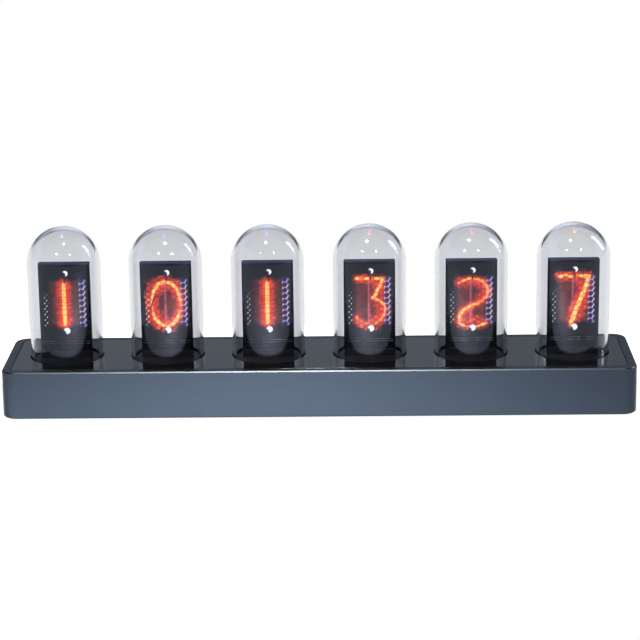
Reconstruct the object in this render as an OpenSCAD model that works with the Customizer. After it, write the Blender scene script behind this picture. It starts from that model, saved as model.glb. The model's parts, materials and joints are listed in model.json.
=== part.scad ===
// Desk clock: six upright colour screens, each under a clear glass dome like an old numeral tube,
// in a row on a low metal case. Millimetres, +Z up. The origin is on the table under the middle of
// the clock, +X is to the viewer's right and -Y faces the viewer.

/* [Glass domes] */
// Outer diameter of a dome
dome_d = 25; // [23:0.5:30]
// Thickness of the glass
dome_wall = 1; // [0.8:0.1:2]
// Free space between neighbouring domes
dome_space = 10; // [8:0.5:20]
// Height of a dome's top above the top edge of its screen
dome_headroom = 12.6; // [9:0.1:20]
// Depth of the glass rim below the top of the case
dome_seat = 4; // [3:0.1:7]
// Gap round the glass in its hole
dome_gap = 0.25; // [0.15:0.05:0.5]
// Thickness of the rubber ring under the glass
gasket_t = 0.8; // [0.5:0.1:1.5]

/* [Dome sockets] */
// Thickness of the moulded walls
cup_wall = 1.2; // [0.8:0.1:1.6]
// Width of the flange that is bonded under the top panel
flange_w = 2; // [1.6:0.1:2.6]
// Thickness of that flange
flange_t = 1.2; // [0.8:0.1:1.6]
// Gap between the glass and the boss inside it
boss_gap = 0.3; // [0.2:0.05:0.6]
// Depth of the boss's top below the top of the case
boss_drop = 0.6; // [0.3:0.1:1.5]
// Thickness of the boss's top
boss_skin = 1.5; // [1:0.1:2.5]
// Side of the square light window behind the screen
window_s = 4; // [2.5:0.1:4.4]

/* [Screens] */
// Width of a screen's glass
lcd_w = 17.6; // [14:0.1:19]
// Height of a screen's glass
lcd_h = 31; // [24:0.1:40]
// Thickness of a screen's glass
lcd_t = 1; // [0.7:0.1:1.4]
// Thickness of the tray behind the glass
tray_t = 2; // [1.4:0.1:2.6]
// Height of the tray's chin below the glass
chin_h = 2.7; // [2:0.1:6]
// Thickness of the carrier board behind the tray
carrier_t = 1; // [0.8:0.1:1.6]
// How far the carrier board is narrower than the glass, on each side
carrier_inset = 0.8; // [0.4:0.1:2]
// How far the glass stands in front of the dome's axis
screen_front = 1.6; // [1:0.1:2.4]
// Gap round the carrier board in its slots
carrier_gap = 0.1; // [0.05:0.05:0.3]

/* [Case] */
// Width of the top panel beyond the end domes
end_margin = 5; // [4.5:0.5:20]
// Depth of the top panel before and behind the domes
side_margin = 6; // [5:0.5:20]
// Width of the metal rim, which is also the wall's thickness
rim_w = 3; // [2.4:0.1:5]
// Radius of the upright corners
corner_r = 5; // [3:0.5:12]
// Break of the outer edges
edge_break = 0.4; // [0.2:0.05:0.8]
// Width of the ledge that carries the top panel
ledge_w = 1.6; // [1:0.1:2]
// Thickness of that ledge
ledge_t = 1; // [0.8:0.1:1.5]
// Side of the screw blocks in the corners
block_s = 6; // [5.5:0.5:8]

/* [Top panel] */
// Thickness of the panel
panel_t = 2.5; // [1.5:0.1:3.5]
// Gap round the panel inside the rim
panel_gap = 0.15; // [0.05:0.05:0.4]
// Thickness of the tape under the panel's edge
tape_t = 0.2; // [0.1:0.05:0.5]

/* [Bottom cover and feet] */
// Thickness of the cover
cover_t = 2; // [1.6:0.1:3]
// Gap round the cover
cover_gap = 0.15; // [0.05:0.05:0.4]
// Thickness of the wall's lip round the cover
lip_w = 1.4; // [1:0.1:2]
// Diameter of the screws that hold the cover
cover_screw_d = 2.5; // [2:0.1:3]
// Length of those screws above the cover
cover_screw_l = 5; // [4:0.5:7]
// Diameter of a foot
foot_d = 10; // [6:0.5:14]
// Height of the feet below the case
foot_h = 1.2; // [0.8:0.1:3]
// Depth of the feet's recesses
foot_sink = 0.8; // [0.5:0.1:1.2]
// Distance of a foot's middle from the case's end
foot_end = 20; // [14:0.5:40]
// Distance of a foot's middle from the case's front or back
foot_side = 9; // [8:0.5:14]

/* [Main board] */
// Height of the pillars under the board
pillar_h = 3; // [2.4:0.1:6]
// Diameter of the pillars
pillar_d = 5; // [4:0.1:6]
// Thickness of the board
board_t = 1.6; // [1:0.1:2]
// Gap between the board and the front and back walls
board_gap = 2.5; // [2:0.1:4]
// Gap between the board's ends and the screw blocks
board_end_gap = 1; // [0.5:0.1:2]
// Diameter of the screws that hold the board
board_screw_d = 2; // [1.6:0.1:2.5]
// Distance of those screws from the board's front and back edges
board_screw_in = 3; // [2.5:0.1:4]
// Height of the connectors that hold the screens
connector_h = 3.4; // [2.6:0.1:6]
// Least gap between the board's parts and the dome sockets
parts_gap = 0.4; // [0.2:0.1:2]

/* [Buttons] */
// Diameter of a button
button_d = 5.5; // [4:0.1:6.5]
// How far a button stands out of the back
button_proud = 0.8; // [0.5:0.1:2]
// Gap round a button in its hole
button_gap = 0.15; // [0.1:0.05:0.3]
// Width of the flange that keeps a button in
button_lip = 0.7; // [0.5:0.1:1]
// Thickness of that flange
button_lip_t = 1; // [0.6:0.1:1.2]
// Place of the first button, to the right of the power inlet
button_first = 28; // [14:1:40]
// Distance from button to button
button_step = 14; // [9:0.5:18]
// Height of the switches on the board
switch_h = 3.4; // [3:0.1:5]
// Width of a switch
switch_w = 6; // [5:0.1:8]
// Length of a switch, front to back
switch_l = 3.5; // [3:0.1:4.5]
// Diameter of a switch's plunger
plunger_d = 2; // [1.5:0.1:2.6]
// How far the plunger stands out of the switch
plunger_out = 1; // [0.7:0.1:1.2]

/* [Power inlet] */
// Width of the inlet's steel shell
usb_w = 8.94; // [8:0.01:10]
// Height of the shell
usb_h = 3.26; // [3:0.01:3.6]
// Length of the shell
usb_l = 7.3; // [6:0.1:9]
// Thickness of the shell's metal
usb_wall = 0.3; // [0.2:0.05:0.4]
// Gap round the shell in the back wall
usb_gap = 0.25; // [0.15:0.05:0.5]
// Depth of the shell's mouth below the back face
usb_sink = 0.3; // [0:0.1:1]

/* [Hidden] */
$fn = 96;
// Overlap of cuts past the faces that they open
over = 0.2;
// Play of a screw in its thread, and of a moving plunger
thread_gap = 0.05;
plunger_gap = 0.15;
// Free depth past the end of a screw or a plunger
end_play = 0.8;

tube_count = 6;
tubes = [0 : tube_count - 1];
button_names = ["power", "mode", "left", "right"];

// Plan of the row and the case
pitch = dome_d + dome_space;
row_w = (tube_count - 1) * pitch;
hole_d = dome_d + 2 * dome_gap;
case_w = row_w + dome_d + 2 * (end_margin + rim_w);
case_d = dome_d + 2 * (side_margin + rim_w);
wall_y = case_d / 2 - rim_w;
inner_corner_r = 0.5;

// Heights, from the table up
case_z0 = foot_h;
cover_z1 = case_z0 + cover_t;
board_z0 = cover_z1 + pillar_h;
board_z1 = board_z0 + board_t;
cup_z0 = board_z1 + max(connector_h, switch_h) + parts_gap;
groove_z = cup_z0 + cup_wall;
glass_z0 = groove_z + gasket_t;
case_z1 = glass_z0 + dome_seat;
panel_z0 = case_z1 - panel_t;
ledge_z = panel_z0 - tape_t;
boss_z1 = case_z1 - boss_drop;
lcd_z0 = boss_z1 + chin_h;
lcd_z1 = lcd_z0 + lcd_h;
dome_z1 = lcd_z1 + dome_headroom;

// A screen's layers, front to back, and what stands behind it
tray_y = lcd_t - screen_front;
carrier_y = tray_y + tray_t;
carrier_mid = carrier_y + carrier_t / 2;
carrier_w = lcd_w - 2 * carrier_inset;
carrier_top = 1.5;
connector_wall = 2;
connector_floor = 0.8;
connector_end = 1.5;
connector_l = carrier_w + 2 * connector_end;
connector_d = carrier_t + 2 * connector_wall;
light_s = 3.5;
light_h = 1.5;
light_gap = 0.5;
light_y = carrier_mid + connector_d / 2 + light_gap + light_s / 2;
boss_d = dome_d - 2 * (dome_wall + boss_gap);

// The board and its screws
board_w = case_w - 2 * (rim_w + block_s + board_end_gap);
board_d = 2 * (wall_y - board_gap);
board_screw_y = board_d / 2 - board_screw_in;
board_screw_spots = [for (i = [0, 2, 3, 5], s = [-1, 1]) [tube_x(i), s * board_screw_y]];
board_head_d = 1.8 * board_screw_d;
board_head_h = 0.65 * board_screw_d;

// The cover's screws, in the corner blocks, and the feet
block_x = case_w / 2 - rim_w - block_s / 2;
block_y = wall_y - block_s / 2;
cover_screw_spots = [for (sx = [-1, 1], sy = [-1, 1]) [sx * block_x, sy * block_y]];
cover_head_d = 1.9 * cover_screw_d;
cover_head_h = (cover_head_d - cover_screw_d) / 2;
head_gap = 0.15;
head_sink = 0.15;
foot_gap = 0.1;
foot_spots = [for (sx = [-1, 1], sy = [-1, 1])
    [sx * (case_w / 2 - foot_end), sy * (case_d / 2 - foot_side)]];

// The buttons and their switches, along the back
button_z = board_z1 + switch_h / 2;
switch_in = 1;
switch_y1 = board_d / 2 - switch_in;
stem_y = switch_y1 + plunger_out;
plunger_in = 1.2;
stem_d = 1.5 * plunger_d;

// The power inlet
usb_r = 0.46 * usb_h;
usb_y1 = case_d / 2 - usb_sink;
usb_y0 = usb_y1 - usb_l;
usb_z = board_z1 + usb_h / 2;
usb_fit = 0.05;
tab_w = usb_w + 3;
tab_gap = 0.3;

// Small parts on the board, in the bays between the screens' connectors
bay_power = -2;
bay_logic = -1;
bay_cell = 0;
bay_radio = 1;
cell_d = 12.5;
cell_t = 2;
cell_gap = 0.15;
cell_y = -4;
holder_wall = 1.2;
holder_floor = 0.8;
radio_size = [13.2, 16.6, 0.8];
shield_size = [11, 11.4, 1.8];
radio_y = -6;
shield_edge = 1;
shield_y = radio_y + (radio_size.y - shield_size.y) / 2 - shield_edge;
chip_size = [9.9, 3.9, 1.6];
chip_rows = [-9, -2, 5];
can_d = 5;
can_h = 4.2;
can_base = [5.4, 5.4, 0.8];
can_rows = [-10, -3];
regulator_size = [6.5, 3.5, 1.6];
regulator_tab = [3, 1.8, 0.6];
regulator_y = 5;

// Finishes
metal_grey = "#566172";
gloss_black = "#101216";
moulded_black = "#1d1f22";
clear_glass = [0.86, 0.92, 0.96, 0.35];
screen_black = "#07080b";
board_green = "#1d4a35";
rubber_black = "#232323";
bright_steel = "#b9bdc2";
dark_steel = "#3a3d42";
warm_white = "#efe8d8";

function tube_x(i) = i * pitch - row_w / 2;
function bay_x(i) = i * pitch;
function button_x(i) = button_first + i * button_step;

// Shapes that several pieces share

// A rectangle with round corners, about its middle
module rounded_rect(w, d, r) {
    square([w - 2 * r, d], center = true);
    square([w, d - 2 * r], center = true);
    for (sx = [-1, 1], sy = [-1, 1])
        translate([sx * (w / 2 - r), sy * (d / 2 - r)])
            circle(r);
}

// A slab with the case's outline, drawn in on all sides by inset
module case_slab(inset, z0, z1) {
    translate([0, 0, z0])
        linear_extrude(z1 - z0)
            rounded_rect(
                case_w - 2 * inset,
                case_d - 2 * inset,
                max(corner_r - inset, inner_corner_r)
            );
}

// Runs a section round the case's outer face: x is outward from the face, y is up
module run_round_case() {
    for (a = [0, 180]) {
        rotate([0, 0, a])
            translate([case_w / 2, 0, 0])
                rotate([90, 0, 0])
                    linear_extrude(case_d - 2 * corner_r, center = true)
                        children();
        rotate([0, 0, a + 90])
            translate([case_d / 2, 0, 0])
                rotate([90, 0, 0])
                    linear_extrude(case_w - 2 * corner_r, center = true)
                        children();
    }
    for (sx = [0, 1], sy = [0, 1])
        mirror([sx, 0, 0])
            mirror([0, sy, 0])
                translate([case_w / 2 - corner_r, case_d / 2 - corner_r, 0])
                    rotate_extrude(angle = 90)
                        translate([corner_r, 0])
                            children();
}

// The cut that breaks an outer edge, with the edge at the section's origin
module edge_section() {
    polygon([
        [-edge_break - over, over],
        [over, -edge_break - over],
        [over, over]
    ]);
}

// A box about its middle in plan, standing on z = 0
module standing_box(size) {
    translate([-size.x / 2, -size.y / 2, 0])
        cube(size);
}

// A cylinder along +Y
module rod_y(d, l) {
    rotate([-90, 0, 0])
        cylinder(d = d, h = l);
}

// The outline of the power inlet, widened by grow, run along +Y
module usb_run(grow, l) {
    rotate([90, 0, 180])
        linear_extrude(l)
            rounded_rect(usb_w + 2 * grow, usb_h + 2 * grow, usb_r + grow);
}

// A cross for a screwdriver, sunk up into a head from z = 0
module cross_recess(d, depth) {
    for (a = [0, 90])
        rotate([0, 0, a])
            translate([-d / 2, -d / 10, -over])
                cube([d, d / 5, depth + over]);
}

// Half of a dome's section: a straight side up to the round top
module dome_half(r, z0, z_round) {
    translate([0, z0])
        square([r, z_round - z0]);
    translate([0, z_round])
        intersection() {
            circle(r);
            square([r, r]);
        }
}

// Case

module case_wall() {
    difference() {
        case_slab(0, case_z0, case_z1);
        case_slab(rim_w, ledge_z, case_z1 + over);
        case_slab(rim_w + ledge_w, case_z0 - over, case_z1 + over);
        case_slab(rim_w, case_z0 - over, ledge_z - ledge_t);
        case_slab(lip_w, case_z0 - over, cover_z1);
        translate([0, 0, case_z1])
            run_round_case()
                edge_section();
        translate([0, 0, case_z0])
            run_round_case()
                mirror([0, 1])
                    edge_section();
    }
}

// A block in the corner that a cover screw goes into, grown into the two walls
module screw_block(spot) {
    translate([spot.x, spot.y, cover_z1])
        standing_box([block_s + rim_w, block_s + rim_w, ledge_z - ledge_t - cover_z1 + over]);
}

module case_frame() {
    color(metal_grey)
        difference() {
            union() {
                case_wall();
                intersection() {
                    for (spot = cover_screw_spots)
                        translate([sign(spot.x), sign(spot.y), 0] * rim_w / 2)
                            screw_block(spot);
                    case_slab(rim_w / 2, cover_z1, ledge_z);
                }
            }
            for (spot = cover_screw_spots)
                translate([spot.x, spot.y, cover_z1 - over])
                    cylinder(d = cover_screw_d + 2 * thread_gap, h = cover_screw_l + end_play + over);
            for (i = [0 : len(button_names) - 1])
                translate([button_x(i), wall_y - over, button_z])
                    rod_y(button_d + 2 * button_gap, rim_w + 2 * over);
            translate([0, wall_y - over, usb_z])
                usb_run(usb_gap, rim_w + 2 * over);
        }
}

module top_panel() {
    color(gloss_black)
        difference() {
            case_slab(rim_w + panel_gap, panel_z0, case_z1);
            for (i = tubes)
                translate([tube_x(i), 0, panel_z0 - over])
                    cylinder(d = hole_d, h = panel_t + 2 * over);
        }
}

module panel_tape() {
    color(rubber_black)
        difference() {
            case_slab(rim_w + panel_gap, ledge_z, panel_z0);
            case_slab(rim_w + ledge_w, ledge_z - over, panel_z0 + over);
        }
}

module bottom_cover() {
    color(moulded_black)
        difference() {
            union() {
                case_slab(lip_w + cover_gap, case_z0, cover_z1);
                for (spot = board_screw_spots)
                    translate([spot.x, spot.y, cover_z1])
                        cylinder(d = pillar_d, h = pillar_h);
            }
            for (spot = board_screw_spots)
                translate([spot.x, spot.y, cover_z1])
                    cylinder(d = board_screw_d + 2 * thread_gap, h = pillar_h + over);
            for (spot = cover_screw_spots)
                translate([spot.x, spot.y, case_z0]) {
                    translate([0, 0, -over])
                        cylinder(d = cover_screw_d + 2 * head_gap, h = cover_t + 2 * over);
                    translate([0, 0, -over])
                        cylinder(d = cover_head_d + 2 * head_gap, h = head_sink + over);
                    translate([0, 0, head_sink])
                        cylinder(
                            d1 = cover_head_d + 2 * head_gap,
                            d2 = cover_screw_d + 2 * head_gap,
                            h = cover_head_h
                        );
                }
            for (spot = foot_spots)
                translate([spot.x, spot.y, case_z0 - over])
                    cylinder(d = foot_d + 2 * foot_gap, h = foot_sink + over);
        }
}

module rubber_feet() {
    color(rubber_black)
        for (spot = foot_spots)
            translate([spot.x, spot.y, 0]) {
                cylinder(d1 = foot_d - foot_h, d2 = foot_d, h = foot_h / 2);
                translate([0, 0, foot_h / 2])
                    cylinder(d = foot_d, h = foot_h / 2 + foot_sink);
            }
}

module cover_screws() {
    shank_l = cover_t - head_sink - cover_head_h + cover_screw_l;
    color(dark_steel)
        for (spot = cover_screw_spots)
            translate([spot.x, spot.y, case_z0 + head_sink])
                difference() {
                    union() {
                        cylinder(d1 = cover_head_d, d2 = cover_screw_d, h = cover_head_h);
                        translate([0, 0, cover_head_h])
                            cylinder(d = cover_screw_d, h = shank_l);
                    }
                    cross_recess(0.6 * cover_head_d, 0.6 * cover_head_h);
                }
}

// Domes, their sockets and their screens

module glass_dome(i) {
    round_z = dome_z1 - dome_d / 2;
    color(clear_glass)
        translate([tube_x(i), 0, 0])
            rotate_extrude()
                difference() {
                    dome_half(dome_d / 2, glass_z0, round_z);
                    dome_half(dome_d / 2 - dome_wall, glass_z0 - over, round_z);
                }
}

// Half of a socket's section: cup, groove for the glass, hollow boss and flange
module socket_half() {
    bore_r = hole_d / 2;
    boss_r = boss_d / 2;
    polygon([
        [0, boss_z1 - boss_skin],
        [boss_r - cup_wall, boss_z1 - boss_skin],
        [boss_r - cup_wall, cup_z0],
        [bore_r + cup_wall, cup_z0],
        [bore_r + cup_wall, panel_z0 - flange_t],
        [bore_r + flange_w, panel_z0 - flange_t],
        [bore_r + flange_w, panel_z0],
        [bore_r, panel_z0],
        [bore_r, groove_z],
        [boss_r, groove_z],
        [boss_r, boss_z1],
        [0, boss_z1]
    ]);
}

module dome_socket(i) {
    color(moulded_black)
        translate([tube_x(i), 0, 0])
            difference() {
                rotate_extrude()
                    socket_half();
                translate([0, carrier_mid, boss_z1 - boss_skin - over])
                    standing_box([
                        carrier_w + 2 * carrier_gap,
                        carrier_t + 2 * carrier_gap,
                        boss_skin + 2 * over
                    ]);
                translate([0, light_y, boss_z1 - boss_skin - over])
                    standing_box([window_s, window_s, boss_skin + 2 * over]);
            }
}

module dome_gaskets() {
    color(rubber_black)
        for (i = tubes)
            translate([tube_x(i), 0, groove_z])
                difference() {
                    cylinder(d = dome_d, h = gasket_t);
                    translate([0, 0, -over])
                        cylinder(d = dome_d - 2 * dome_wall, h = gasket_t + 2 * over);
                }
}

module screen_glass(i) {
    color(screen_black)
        translate([tube_x(i), lcd_t / 2 - screen_front, lcd_z0])
            standing_box([lcd_w, lcd_t, lcd_h]);
}

// The tray backs the glass and comes forward under it as a chin, flush with its face
module screen_tray(i) {
    color(moulded_black)
        translate([tube_x(i), 0, boss_z1]) {
            translate([0, tray_y + tray_t / 2, 0])
                standing_box([lcd_w, tray_t, chin_h + lcd_h]);
            translate([0, (carrier_y - screen_front) / 2, 0])
                standing_box([lcd_w, screen_front + carrier_y, chin_h]);
        }
}

module screen_carrier(i) {
    z0 = board_z1 + connector_floor;
    color(board_green)
        translate([tube_x(i), carrier_mid, z0])
            standing_box([carrier_w, carrier_t, lcd_z1 - carrier_top - z0]);
}

module screen_connectors() {
    color(moulded_black)
        for (i = tubes)
            translate([tube_x(i), carrier_mid, board_z1])
                difference() {
                    standing_box([connector_l, connector_d, connector_h]);
                    translate([0, 0, connector_floor])
                        standing_box([
                            carrier_w + 2 * carrier_gap,
                            carrier_t + 2 * carrier_gap,
                            connector_h
                        ]);
                }
}

module tube_lights() {
    color(warm_white)
        for (i = tubes)
            translate([tube_x(i), light_y, board_z1])
                standing_box([light_s, light_s, light_h]);
}

// Main board and what it carries

module main_board() {
    tab_y1 = wall_y - tab_gap;
    color(board_green)
        translate([0, 0, board_z0])
            linear_extrude(board_t)
                difference() {
                    union() {
                        square([board_w, board_d], center = true);
                        translate([-tab_w / 2, 0])
                            square([tab_w, tab_y1]);
                    }
                    for (spot = board_screw_spots)
                        translate(spot)
                            circle(d = board_screw_d + 2 * head_gap);
                }
}

module board_screws() {
    color(bright_steel)
        for (spot = board_screw_spots)
            translate([spot.x, spot.y, board_z1]) {
                translate([0, 0, end_play - board_t - pillar_h])
                    cylinder(d = board_screw_d, h = board_t + pillar_h - end_play);
                difference() {
                    cylinder(d = board_head_d, h = board_head_h);
                    translate([0, 0, board_head_h])
                        mirror([0, 0, 1])
                            cross_recess(0.6 * board_head_d, 0.5 * board_head_h);
                }
            }
}

module wireless_board() {
    color("#16181c")
        translate([bay_x(bay_radio), radio_y, board_z1])
            standing_box(radio_size);
}

module wireless_shield() {
    color(bright_steel)
        translate([bay_x(bay_radio), shield_y, board_z1 + radio_size.z])
            standing_box(shield_size);
}

module coin_cell_holder() {
    pocket_d = cell_d + 2 * cell_gap;
    color(moulded_black)
        translate([bay_x(bay_cell), cell_y, board_z1])
            difference() {
                cylinder(d = pocket_d + 2 * holder_wall, h = holder_floor + cell_t);
                translate([0, 0, holder_floor])
                    cylinder(d = pocket_d, h = cell_t + over);
            }
}

module coin_cell() {
    color(bright_steel)
        translate([bay_x(bay_cell), cell_y, board_z1 + holder_floor])
            cylinder(d = cell_d, h = cell_t);
}

module logic_chips() {
    color("#202226")
        for (y = chip_rows)
            translate([bay_x(bay_logic), y, board_z1])
                standing_box(chip_size);
}

module voltage_regulator() {
    color("#26282c")
        translate([bay_x(bay_power), regulator_y, board_z1]) {
            standing_box(regulator_size);
            translate([0, (regulator_size.y + regulator_tab.y) / 2 - over, 0])
                standing_box(regulator_tab);
        }
}

module capacitors() {
    color("#9aa0a8")
        for (y = can_rows)
            translate([bay_x(bay_power), y, board_z1]) {
                standing_box(can_base);
                cylinder(d = can_d, h = can_h);
            }
}

module usb_shell() {
    color(bright_steel)
        translate([0, usb_y0, usb_z])
            difference() {
                usb_run(0, usb_l);
                translate([0, -over, 0])
                    usb_run(-usb_wall, usb_l + 2 * over);
            }
}

// The moulding that closes the shell's back and carries the contact tongue
module usb_tongue() {
    back_l = 0.25 * usb_l;
    tongue_l = 0.85 * usb_l;
    tongue_w = 0.75 * usb_w;
    tongue_t = 0.7;
    color(moulded_black)
        translate([0, usb_y0, usb_z]) {
            usb_run(-usb_wall - usb_fit, back_l);
            translate([-tongue_w / 2, back_l / 2, -tongue_t / 2])
                cube([tongue_w, tongue_l - back_l / 2, tongue_t]);
        }
}

// Switches and buttons

module switch_bodies() {
    color("#2a2d31")
        for (i = [0 : len(button_names) - 1])
            translate([button_x(i), switch_y1, button_z])
                difference() {
                    translate([0, -switch_l / 2, -switch_h / 2])
                        standing_box([switch_w, switch_l, switch_h]);
                    translate([0, -plunger_in - end_play, 0])
                        rod_y(plunger_d + 2 * plunger_gap, plunger_in + end_play + over);
                }
}

module switch_plunger(i) {
    color(warm_white)
        translate([button_x(i), switch_y1 - plunger_in, button_z])
            rod_y(plunger_d, plunger_in + plunger_out);
}

// A cap with its stem on the plunger and its flange against the inside of the back wall
module button_cap(i) {
    lip_y = wall_y - button_lip_t;
    color(gloss_black)
        translate([button_x(i), 0, button_z]) {
            translate([0, stem_y, 0])
                rod_y(stem_d, lip_y - stem_y);
            translate([0, lip_y, 0])
                rod_y(button_d + 2 * button_lip, button_lip_t);
            translate([0, wall_y, 0])
                rod_y(button_d, rim_w + button_proud);
        }
}

case_frame();
top_panel();
panel_tape();
bottom_cover();
rubber_feet();
cover_screws();
main_board();
board_screws();
dome_gaskets();
screen_connectors();
tube_lights();
wireless_board();
wireless_shield();
coin_cell_holder();
coin_cell();
logic_chips();
voltage_regulator();
capacitors();
usb_shell();
usb_tongue();
switch_bodies();
for (i = tubes) {
    glass_dome(i);
    dome_socket(i);
    screen_glass(i);
    screen_tray(i);
    screen_carrier(i);
}
for (i = [0 : len(button_names) - 1]) {
    button_cap(i);
    switch_plunger(i);
}
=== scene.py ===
"""A desk clock with six screens under glass domes: its finishes, its lit pictures and the studio round it."""
import json
import math

import bmesh
import bpy
import numpy as np
from mathutils import Matrix, Vector


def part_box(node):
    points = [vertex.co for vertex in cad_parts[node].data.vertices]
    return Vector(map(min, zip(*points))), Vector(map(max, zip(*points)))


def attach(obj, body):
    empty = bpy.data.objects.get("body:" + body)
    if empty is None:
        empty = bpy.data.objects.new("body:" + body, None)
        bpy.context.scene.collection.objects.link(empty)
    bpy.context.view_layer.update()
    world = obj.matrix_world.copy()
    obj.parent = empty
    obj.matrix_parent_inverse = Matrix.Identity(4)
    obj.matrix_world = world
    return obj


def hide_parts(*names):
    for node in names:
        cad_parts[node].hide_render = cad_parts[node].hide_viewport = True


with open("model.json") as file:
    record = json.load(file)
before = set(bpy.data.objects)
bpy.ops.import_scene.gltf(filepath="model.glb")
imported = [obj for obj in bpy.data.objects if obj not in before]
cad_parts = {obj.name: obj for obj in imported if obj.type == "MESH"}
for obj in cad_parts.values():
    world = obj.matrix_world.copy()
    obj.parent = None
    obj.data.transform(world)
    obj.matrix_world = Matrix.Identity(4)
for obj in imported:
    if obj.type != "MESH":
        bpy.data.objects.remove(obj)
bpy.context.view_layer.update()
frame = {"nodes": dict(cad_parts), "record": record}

bl_info = {
    "name": "Screen clock under glass domes",
    "version": (1, 0, 0),
    "blender": (4, 5, 0),
    "location": "3D View > Sidebar > Clock",
    "description": "Finishes, glass domes, lit numerals and studio for a desk clock",
    "category": "Object",
}

MM = 0.001
TUBES = range(1, 7)
BUTTONS = ("power", "mode", "left", "right")
BODY_OF = {node: body for body, nodes in frame["record"]["behaviour"]["bodies"].items() for node in nodes}
SLOT_OF = {part["node"]: part["material_slot"] for part in frame["record"]["subparts"]}


def linear(code):
    """Turns an sRGB hex colour into linear red, green, blue and alpha."""
    srgb = [int(code[i:i + 2], 16) / 255 for i in (1, 3, 5)]
    return (*[c / 12.92 if c <= 0.04045 else ((c + 0.055) / 1.055) ** 2.4 for c in srgb], 1.0)


def colour(name, code, description):
    """A colour that the user can change, given as an sRGB hex value."""
    return bpy.props.FloatVectorProperty(
        name=name, description=description, default=linear(code), size=4, min=0, max=1, subtype="COLOR"
    )


def length(name, millimetres, description):
    """A length that the user can change, given in millimetres."""
    return bpy.props.FloatProperty(
        name=name, description=description, default=millimetres * MM, precision=5, unit="LENGTH"
    )


def angle(name, degrees, description):
    """An angle that the user can change, given in degrees."""
    return bpy.props.FloatProperty(
        name=name, description=description, default=math.radians(degrees), unit="ROTATION"
    )


def amount(name, value, description):
    """A plain number that the user can change."""
    return bpy.props.FloatProperty(name=name, description=description, default=value)


# What a user would change


class ClockColours(bpy.types.PropertyGroup):
    """Colours of the finishes and of the pictures on the screens."""

    metal: colour("Metal", "#47505c", "Blue-grey dye of the anodised case")
    plate: colour("Top plate", "#0b0d11", "Black of the polished top plate")
    moulded: colour("Mouldings", "#37383c", "Black of the moulded plastic pieces")
    tray: colour("Trays", "#2a2963", "Blue-black of the trays behind the screens")
    rubber: colour("Rubber", "#1c1c1d", "Black of the feet, the rings and the tape")
    glass: colour("Glass", "#f0f1f4", "Tint of the glass domes")
    board: colour("Boards", "#1c5a40", "Green of the circuit boards")
    core: colour("Numeral", "#ffe480", "Hottest part of a numeral")
    flame: colour("Numeral edge", "#f87818", "Edge of a numeral")
    glow: colour("Glow", "#f4382c", "Glow round a numeral")
    haze: colour("Haze", "#702e26", "Faint light inside the mesh")
    wire: colour("Centre wire", "#d6647e", "Upright wire through the middle")
    mesh_lit: colour("Lit mesh", "#e4dafa", "Mesh where it catches the light")
    mesh_blue: colour("Blue mesh", "#4a56dc", "Mesh at the top and the foot of the lit row")
    mesh_dark: colour("Mesh cells", "#221048", "Cells between the lit mesh wires")
    post: colour("Posts", "#f8f8ff", "Glint on the two posts")


class ClockSizes(bpy.types.PropertyGroup):
    """Sizes of what is made here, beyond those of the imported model, and what the screens show."""

    case_edge: length("Case edges", 0.14, "Rounding of the case's edges")
    plate_edge: length("Plate edges", 0.12, "Rounding of the top plate's edges")
    moulded_edge: length("Moulded edges", 0.2, "Rounding of the mouldings' edges")
    screen_edge: length("Screen edges", 0.12, "Rounding of the screens' edges")
    button_edge: length("Button edges", 0.3, "Rounding of the buttons' and the feet's edges")
    fine_edge: length("Fine edges", 0.05, "Rounding of the boards' and the small metal pieces' edges")
    dome_wall: length("Glass wall", 1.0, "Thickness of a dome's glass")
    picture_w: length("Picture width", 14.86, "Width of the lit picture")
    picture_h: length("Picture height", 24.91, "Height of the lit picture")
    picture_drop: length("Picture drop", 14.0, "From a screen's top edge down to the picture's middle")
    film_h: length("Film height", 27.6, "From a screen's top edge down to the film's cut edge")
    lip_h: length("Lip height", 0.4, "How far a tray's lip reaches down over a screen's top edge")
    picture_lift: length("Picture lift", 0.02, "How far the picture lies in front of the black glass")
    pixel: length("Pixel", 0.11, "Step of the picture's pixels")
    numerals: bpy.props.StringProperty(
        name="Numerals",
        description="What the six screens show, of the numerals 0, 1, 2, 3 and 7",
        default="101327",
    )


class ClockStudio(bpy.types.PropertyGroup):
    """The camera and the light."""

    camera_at: bpy.props.FloatVectorProperty(
        name="Camera",
        description="Where the camera stands",
        default=(0.0123, -0.77087, 0.24506),
        unit="LENGTH",
    )
    yaw: angle("Yaw", -0.887, "Turn of the camera to its right")
    pitch: angle("Pitch", 15.627, "How far the camera looks down")
    roll: angle("Roll", -0.716, "Turn of the camera about its own axis")
    focal: amount("Focal length", 130.33, "Lens in millimetres on a 36 mm sensor")
    contrast: amount("Contrast", 0.85, "Gamma of the whole picture, below 1 for deeper darks")
    floor_glow: amount("Floor", 1.0, "Brightness of the floor")
    pool_glow: amount("Front pool", 2.2, "Light that the floor before the clock throws on the case")
    back_glow: amount("Back pool", 1.8, "Light that the floor behind the clock throws on its back")
    card_glow: amount("Card", 0.45, "Light that the card behind the clock adds in the domes' edges")


# Nodes and meshes

# Points nearer than this are one point, and faces flatter than this to each other are one face
WELD = 0.001 * MM
FLAT = math.radians(0.2)
# Edges sharper than this are rounded, in so many steps
SHARP = math.radians(30)
EDGE_STEPS = 3


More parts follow.
